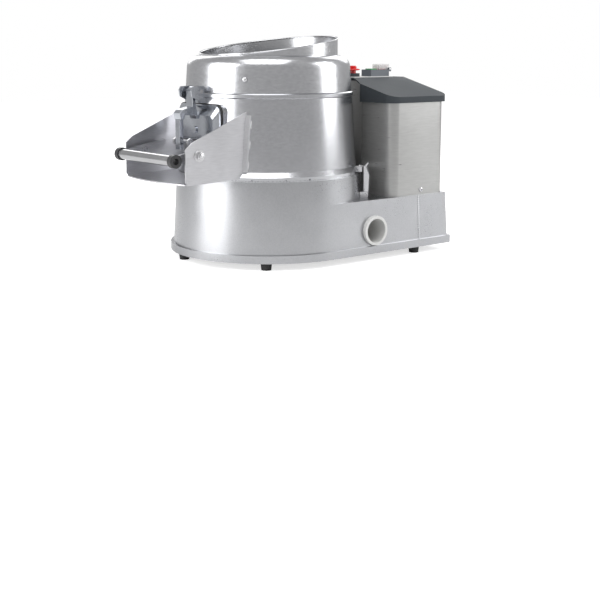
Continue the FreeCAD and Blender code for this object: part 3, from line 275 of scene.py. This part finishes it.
def grit(name):
    """The common finish with the relief taken from cells, one to a grain."""
    grains_per_metre = 620.0
    made = finish(name, pale=(0.30, 0.29, 0.27), deep=(0.07, 0.068, 0.065), rough=(0.75, 0.95), grain=700.0,
                  cloud=30.0, metallic=0.0, bump=1.0, depth=0.0015)
    nodes, wires = made.node_tree.nodes, made.node_tree.links
    grains = nodes.new("ShaderNodeTexVoronoi")
    grains.inputs["Scale"].default_value = grains_per_metre
    place = nodes.new("ShaderNodeTexCoord")
    wires.new(place.outputs["Object"], grains.inputs["Vector"])
    wires.new(grains.outputs["Distance"], nodes["Bump"].inputs["Height"])
    return made


carbide = grit("carbide_grit")
dress("abrasive_disc", carbide)
dress("abrasive_lining", carbide)

# Drum: stainless sheet, rolled and welded, with a coned ring at its foot and a rolled bead at its top.
# Its brushing runs round the drum, so the satin grain is finer along Z than round the wall.
drum_brushed = finish("drum_brushed", pale=(0.55, 0.555, 0.575), deep=(0.49, 0.495, 0.515),
                      rough=(0.21, 0.27), grain=150.0, stretch=(0.8, 0.8, 2.2), cloud=6.0, bump=0.03,
                      depth=0.00015)
dress("drum_shell", drum_brushed)
dress("outlet_neck", drum_brushed)

# Lid: one spun dome with the slanted hopper collar, whose edge ends in a rolled bead. It has the drum's
# satin skin, a round-head stud in front and a turned water inlet with a threaded stub on its far side.
lid_spun = finish("lid_spun", pale=(0.59, 0.595, 0.61), deep=(0.49, 0.495, 0.515), rough=(0.21, 0.28),
                  grain=140.0, stretch=(0.8, 0.8, 2.2), cloud=5.0, bump=0.025, depth=0.00015)
dress("drum_lid", lid_spun)
dress("water_inlet", turned_steel)
drum_middle = next(joint["pos_m"][1] for joint in frame["joints"] if joint["name"] == "disc_spin")


def rolled_edge(name, radius, front_z, rear_z, wire, material):
    """The hopper's rolled rim: a bead that follows the collar's slanted edge."""
    round_steps = 128
    bead_steps = 12
    made = bmesh.new()
    rows = []
    for i in range(round_steps):
        turn = 2 * math.pi * i / round_steps
        spot = Vector((radius * math.cos(turn), radius * math.sin(turn) + drum_middle, 0))
        spot.z = front_z + (rear_z - front_z) * (math.sin(turn) + 1) / 2 - wire
        out = Vector((math.cos(turn), math.sin(turn), 0))
        row = []
        for k in range(bead_steps):
            a = 2 * math.pi * k / bead_steps
            row.append(made.verts.new(spot + out * wire * math.cos(a) + Vector((0, 0, wire * math.sin(a)))))
        rows.append(row)
    span_rows(made, rows + [rows[0]], ends=False)
    shown_piece(made, name, material, "base")


def turned_piece(name, outlines, seat, way, body, sharp):
    """Rings of (radius, height) points stood on a seat in the direction the piece points in."""
    made = bmesh.new()
    turn = Vector(way).normalized().to_track_quat("Z", "Y").to_matrix()
    rows = []
    for outline in outlines:
        row = []
        for k, (r, h) in enumerate(outline):
            a = 2 * math.pi * k / len(outline)
            row.append(made.verts.new(Vector(seat) + turn @ Vector((r * math.cos(a), r * math.sin(a), h))))
        rows.append(row)
    span_rows(made, rows)
    piece = shown_piece(made, name, turned_steel, body)
    crisp_edges(piece, sharp)
    return piece


def spun_head(name, profile, seat, way, body):
    """A round head, washer or shank, from its profile."""
    steps = 40
    return turned_piece(name, [[point] * steps for point in profile], seat, way, body, sharp=35)


def hex_nut(name, seat, way, flat, tall, stud, body):
    """A nut seen from its face: chamfered corners, a countersunk bore and the domed end of its stud."""
    steps = 72
    chamfer_slope = 0.577
    chamfer_from = flat * 0.48
    face = flat * 0.46
    sink_radius = stud * 1.15
    sink_deep = stud * 0.2
    dome = ((stud * 0.98, tall), (stud * 0.6, tall + stud * 0.13), (0.0001, tall + stud * 0.16))
    sixth = math.pi / 3
    corner = [flat / 2 / math.cos((2 * math.pi * k / steps + sixth / 2) % sixth - sixth / 2)
              for k in range(steps)]
    outlines = [[(r, 0.0) for r in corner], [(r, tall - (r - chamfer_from) * chamfer_slope) for r in corner]]
    for point in ((face, tall), (sink_radius, tall), (stud, tall - sink_deep), *dome):
        outlines.append([point] * steps)
    turned_piece(name, outlines, seat, way, body, sharp=25)


def wound_thread(name, radius, start, end, pitch, deep, way, origin, material):
    """A thread wound on a stub: a thin triangular ridge that follows a helix and fades at both ends."""
    steps = 36
    sunk = 0.0002
    root = radius - sunk
    half_ridge = pitch * 0.42
    made = bmesh.new()
    turn = Vector(way).normalized().to_track_quat("Z", "Y").to_matrix()
    count = int((end - start) / pitch * steps)
    rows = []
    for i in range(count + 1):
        angle = 2 * math.pi * i / steps
        along = start + pitch * i / steps
        fade = min(1.0, i / steps, (count - i) / steps)
        row = []
        for r, shift in ((root, -half_ridge), (radius + deep * fade, 0.0), (root, half_ridge)):
            spot = Vector((r * math.cos(angle), r * math.sin(angle), along + shift))
            row.append(made.verts.new(turn @ spot + Vector(origin)))
        rows.append(row)
    span_rows(made, rows)
    shown_piece(made, name, material, "base", smooth=False)


def level_way(degrees):
    """The level direction at an angle from +X."""
    return Vector((math.cos(math.radians(degrees)), math.sin(math.radians(degrees)), 0))


rolled_edge("hopper_rolled_edge", radius=0.1362, front_z=0.400, rear_z=0.4367, wire=0.0016, material=lid_spun)
stud_way = level_way(-53)
stud_stand, stud_z = 0.1636, 0.354
stud_profile = ((0.0045, 0.0), (0.0045, 0.0012), (0.0041, 0.0024), (0.0030, 0.0033), (0.0015, 0.0036),
                (0.0014, 0.0026), (0.0002, 0.0026))
stud_head = spun_head("lid_stud_head", stud_profile,
                      stud_way * stud_stand + Vector((0, drum_middle, stud_z)), stud_way, "base")
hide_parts("lid_stud")
wound_thread("water_inlet_thread", radius=0.0132, start=0.1725, end=0.1935, pitch=0.0018, deep=0.0009,
             way=level_way(170), origin=(0, drum_middle, 0.352), material=turned_steel)

# Door: a pressed pan with bevelled sides, polished brighter and bluer than the drum, on a bent strap with
# an upright grip bar. A steel bolt with a nut crosses the bar's foot, and a rubber seal lies round the neck.
polished = finish("polished_stainless", pale=(0.58, 0.60, 0.64), deep=(0.42, 0.44, 0.48), rough=(0.14, 0.22),
                  grain=60.0, stretch=(1, 9, 1), cloud=14.0, bump=0.03)
dress("door_pan", polished)
for name in ("door_strap", "door_grip_bar", "hinge_bracket"):
    dress(name, polished, eased=0.0005)
dress("hinge_pin", turned_steel)
dress("door_seal", moulded_rubber)

low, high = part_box("grip_cross_bolt")
cross = Vector((0, (low.y + high.y) / 2, (low.z + high.z) / 2))
shank_radius, shank_half = 0.0040, 0.0235
nut_x, head_x = 0.020, 0.022
shank_profile = ((shank_radius, -shank_half), (shank_radius, shank_half))
shank = spun_head("grip_cross_shank", shank_profile, cross, (1, 0, 0), "door")
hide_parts("grip_cross_bolt")
hex_nut("grip_cross_nut", cross - Vector((nut_x, 0, 0)), (-1, 0, 0), flat=0.0138, tall=0.0062, stud=0.0040,
        body="door")
hex_nut("grip_cross_head", cross + Vector((head_x, 0, 0)), (1, 0, 0), flat=0.0138, tall=0.0043, stud=0.0036,
        body="door")

# Chute: one folded stainless sheet with two cheeks, brushed along its length. Its flanges follow the drum's
# cone and are held to it by three short welds a side.
chute_brushed = finish("chute_brushed", pale=(0.60, 0.60, 0.62), deep=(0.49, 0.49, 0.51), rough=(0.28, 0.38),
                       grain=110.0, stretch=(4, 0.5, 4), cloud=8.0, bump=0.06, depth=0.00015)
dress("chute_tray", chute_brushed, eased=0.0004)
cone_foot_radius, cone_foot_z = 0.175, 0.182
cone_narrowing, cone_tall = 0.009, 0.136
flange_x = 0.1120
stitch_long = 0.014
stitch_starts = (0.188, 0.226, 0.264)
out_x, out_y, out_z = 0.64, -0.768, 0.066
for side, label in ((-1, "left"), (1, "right")):
    for row, low_end in enumerate(stitch_starts):
        ends = []
        for z in (low_end, low_end + stitch_long):
            wall = cone_foot_radius - cone_narrowing * (z - cone_foot_z) / cone_tall
            ends.append((side * flange_x, drum_middle - math.sqrt(wall * wall - flange_x * flange_x), z))
        weld_bead("chute_weld_%s_%d" % (label, row), ends[0], ends[1], (side * out_x, out_y, out_z),
                  half_width=0.0015, material=turned_steel, ripples=5)

# Discharge handle: two flat arms, a bright drawn tube across and two hollow black end caps.
# Each arm turns on a stud through the cheek, held by a washer and a nut outside.
drawn_tube = finish("drawn_tube", pale=(0.52, 0.52, 0.53), deep=(0.42, 0.42, 0.43), rough=(0.16, 0.24),
                    grain=200.0, stretch=(1, 14, 14), bump=0.04)
black_moulding = finish("black_moulding", pale=(0.03, 0.03, 0.032), deep=(0.018, 0.018, 0.02),
                        rough=(0.3, 0.45), grain=700.0, metallic=0.0, bump=0.12)
dress("handle_arms", chute_brushed, eased=0.0004)
dress("handle_tube", drawn_tube)
dress("handle_end_caps", black_moulding)
low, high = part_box("handle_pivots")
cheek_x = 0.105
washer_thick = 0.0015
washer_profile = ((0.0050, -0.025), (0.0050, 0.0), (0.0110, 0.0), (0.0110, 0.0011), (0.0105, washer_thick),
                  (0.0040, washer_thick))
for side, label in ((-1, "left"), (1, "right")):
    seat = Vector((side * cheek_x, (low.y + high.y) / 2, (low.z + high.z) / 2))
    washer = spun_head("pivot_washer_" + label, washer_profile, seat, (side, 0, 0), "base")
    hex_nut("pivot_nut_" + label, seat + Vector((side * washer_thick, 0, 0)), (side, 0, 0), flat=0.0128,
            tall=0.0052, stud=0.0040, body="base")
    if side > 0:
        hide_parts("handle_pivots")

# Drum clamps: pressed straps that hook over a welded catch, each on a pin between two lugs of its bracket.
# All are steel, and the straps' and brackets' edges are eased by the press.
for side in ("left", "right"):
    dress("clamp_pin_" + side, turned_steel)
    for name in ("clamp_bracket_", "clamp_strap_", "drum_catch_"):
        dress(name + side, turned_steel, eased=0.0004)

# Motor and its fittings under the cover: a painted can with a moulded fan cap, and a start capacitor.
# The motor stands on a steel plate that four nuts hold to the base's deck.
motor_paint = finish("motor_paint", pale=(0.10, 0.14, 0.18), deep=(0.06, 0.09, 0.12), rough=(0.35, 0.5),
                     grain=500.0, metallic=0.0, bump=0.15)
for name, material in (("motor", motor_paint), ("motor_fan_cap", black_moulding),
                       ("motor_plate", plain_sheet), ("motor_plate_bolts", turned_steel),
                       ("start_capacitor", black_moulding)):
    dress(name, material)

# Motor cover: a wrap of brushed stainless sheet, duller and a touch warmer than the drum.
# A dome screw with a socket holds it on each side, low down.
cover_brushed = finish("cover_brushed", pale=(0.41, 0.41, 0.405), deep=(0.335, 0.335, 0.33),
                       rough=(0.27, 0.38), grain=130.0, stretch=(0.35, 0.35, 3.5), cloud=5.0,
                       metallic=0.65, bump=0.012, depth=0.00015)
dress("motor_cover", cover_brushed)
low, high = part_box("cover_screws")
cover_x = 0.184
screw_profile = ((0.0050, 0.0), (0.0050, 0.0008), (0.0044, 0.0021), (0.0030, 0.0028), (0.0021, 0.0029),
                 (0.0017, 0.0014), (0.0002, 0.0014))
for side, label in ((-1, "left"), (1, "right")):
    seat = (side * cover_x, (low.y + high.y) / 2, (low.z + high.z) / 2)
    head = spun_head("cover_screw_" + label, screw_profile, seat, (side, 0, 0), "base")
    if side > 0:
        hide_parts("cover_screws")

# Cover cap: a dark slate moulding with a fine spark texture, matt all over.
# It drops over the cover's top edge and leaves a hollow for the drum.
slate_moulding = finish("slate_moulding", pale=(0.055, 0.062, 0.069), deep=(0.040, 0.046, 0.052),
                        rough=(0.55, 0.68), grain=800.0, metallic=0.0, bump=0.25, shine=0.12)
dress("cover_cap", slate_moulding, eased=0.0012)

# Controls: a pale strip, the switch case with its two keys and flap, and the red emergency mushroom.
# All are mouldings fixed through the cap. The cord's gland sits in the base's rear wall.
case_moulding = finish("case_moulding", pale=(0.10, 0.115, 0.135), deep=(0.075, 0.088, 0.105),
                       rough=(0.3, 0.42), grain=600.0, metallic=0.0)
clear_flap = finish("clear_flap", pale=(0.72, 0.70, 0.70), deep=(0.60, 0.58, 0.58), rough=(0.12, 0.2),
                    grain=300.0, metallic=0.0, bump=0.03, alpha=0.42)
red_moulding = finish("red_moulding", pale=(0.72, 0.03, 0.03), deep=(0.60, 0.02, 0.02), rough=(0.18, 0.28),
                      grain=400.0, metallic=0.0, bump=0.04, coat=0.3)
green_moulding = finish("green_moulding", pale=(0.03, 0.34, 0.10), deep=(0.02, 0.26, 0.07),
                        rough=(0.25, 0.35), grain=400.0, metallic=0.0, bump=0.04)
for name, material in (("control_plate", pale_plastic), ("switch_case", case_moulding),
                       ("switch_flap", clear_flap), ("flap_pin", turned_steel),
                       ("start_button", green_moulding), ("stop_button", red_moulding),
                       ("stop_collar", slate_moulding), ("emergency_stop", red_moulding),
                       ("cable_gland", black_moulding)):
    dress(name, material)


def fluted_ring(name, middle, radius, low, high, flutes, deep, material, body):
    """The moulded skirt of a mushroom head: a ring whose rim is cut with finger flutes."""
    steps_per_flute = 8
    steps = flutes * steps_per_flute
    edge_in, edge_up = 0.0012, 0.0006
    made = bmesh.new()
    rows = []
    for z, r in ((low, radius - edge_in), (low + edge_up, radius), (high - edge_up, radius),
                 (high, radius - edge_in)):
        row = []
        for k in range(steps):
            t = 2 * math.pi * k / steps
            reach = r - deep * (0.5 + 0.5 * math.cos(flutes * t))
            row.append(made.verts.new((middle[0] + reach * math.cos(t), middle[1] + reach * math.sin(t), z)))
        rows.append(row)
    span_rows(made, rows)
    shown_piece(made, name, material, body)


low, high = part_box("emergency_stop")
skirt_stand = 0.0012
skirt_low, skirt_high = 0.0094, 0.0064
fluted_ring("emergency_stop_skirt", ((low.x + high.x) / 2, (low.y + high.y) / 2),
            (high.x - low.x) / 2 + skirt_stand, high.z - skirt_low, high.z - skirt_high, flutes=18,
            deep=0.0007, material=red_moulding, body="stop_mushroom")

# Studio: a pale floor that shows a little brighter to the camera, and a white surround for the metal to
# reflect. Soft lamps stand in front, behind, above and at both sides.
floor_half = 6
floor_glow = 0.66
surround_strength = 0.52
shown_strength = 1.0
floor_mesh = bpy.data.meshes.new("floor")
corners = [(x * floor_half, y * floor_half, 0) for x, y in ((-1, -1), (1, -1), (1, 1), (-1, 1))]
floor_mesh.from_pydata(corners, [], [(0, 1, 2, 3)])
floor = bpy.data.objects.new("floor", floor_mesh)
bpy.context.scene.collection.objects.link(floor)
floor_pale = bpy.data.materials.new("floor_pale")
floor_pale.use_nodes = True
nodes, wires = floor_pale.node_tree.nodes, floor_pale.node_tree.links
matt = nodes["Principled BSDF"]
matt.inputs["Base Color"].default_value = (0.80, 0.80, 0.80, 1)
matt.inputs["Roughness"].default_value = 0.7
glow = nodes.new("ShaderNodeEmission")
glow.inputs["Color"].default_value = (1, 1, 1, 1)
seen = nodes.new("ShaderNodeLightPath")
dim = nodes.new("ShaderNodeMath")
dim.operation = "MULTIPLY"
dim.inputs[1].default_value = floor_glow
both_ways = nodes.new("ShaderNodeAddShader")
wires.new(seen.outputs["Is Camera Ray"], dim.inputs[0])
wires.new(dim.outputs[0], glow.inputs["Strength"])
wires.new(matt.outputs[0], both_ways.inputs[0])
wires.new(glow.outputs[0], both_ways.inputs[1])
wires.new(both_ways.outputs[0], nodes["Material Output"].inputs["Surface"])
floor_mesh.materials.append(floor_pale)

surround = bpy.data.worlds.new("surround")
bpy.context.scene.world = surround
surround.use_nodes = True
nodes, wires = surround.node_tree.nodes, surround.node_tree.links
plain = nodes["Background"]
shown = nodes.new("ShaderNodeBackground")
for light, strength in ((plain, surround_strength), (shown, shown_strength)):
    light.inputs["Color"].default_value = (1, 1, 1, 1)
    light.inputs["Strength"].default_value = strength
way = nodes.new("ShaderNodeLightPath")
pick = nodes.new("ShaderNodeMixShader")
wires.new(way.outputs["Is Camera Ray"], pick.inputs[0])
wires.new(plain.outputs[0], pick.inputs[1])
wires.new(shown.outputs[0], pick.inputs[2])
wires.new(pick.outputs[0], nodes["World Output"].inputs["Surface"])

for name, place, aim, size, power in (
        ("front_soft", (-0.57, -2.28, 0.95), (0, 0, 0.22), (1.7, 2.0), 50),
        ("right_soft", (1.45, 1.85, 1.15), (0, 0, 0.22), (1.05, 1.7), 30),
        ("left_soft", (-2.2, 0.6, 1.3), (0, 0, 0.25), (0.8, 1.4), 8),
        ("top_soft", (0.75, -0.75, 2.35), (0, 0, 0.2), (1.7, 1.7), 32),
        ("back_soft", (-1.2, 2.2, 1.6), (0, 0, 0.25), (1.2, 1.6), 16)):
    lamp = bpy.data.lights.new(name, "AREA")
    lamp.shape = "RECTANGLE"
    lamp.size, lamp.size_y = size
    lamp.energy = power
    lit = bpy.data.objects.new(name, lamp)
    lit.location = place
    lit.rotation_euler = (Vector(aim) - Vector(place)).to_track_quat("-Z", "Y").to_euler()
    bpy.context.scene.collection.objects.link(lit)

# Camera: at the photograph's bearing, looking down a little and shifted so that the machine stands in the
# frame's upper half, as it does there above its stand.
camera_reach = (1.7826, -1.3626, 0.4167)
camera_way = (-0.7786, 0.6120, -0.1392)
lens = bpy.data.cameras.new("photo_camera")
lens.lens = 67.24
lens.sensor_width = 36.0
lens.shift_x = 0.0269
lens.shift_y = -0.1617
camera = bpy.data.objects.new("photo_camera", lens)
camera.location = (camera_reach[0], camera_reach[1] + drum_middle, camera_reach[2])
camera.rotation_euler = Vector(camera_way).to_track_quat("-Z", "Y").to_euler()
bpy.context.scene.collection.objects.link(camera)
bpy.context.scene.camera = camera
bpy.context.scene.view_settings.view_transform = "Standard"
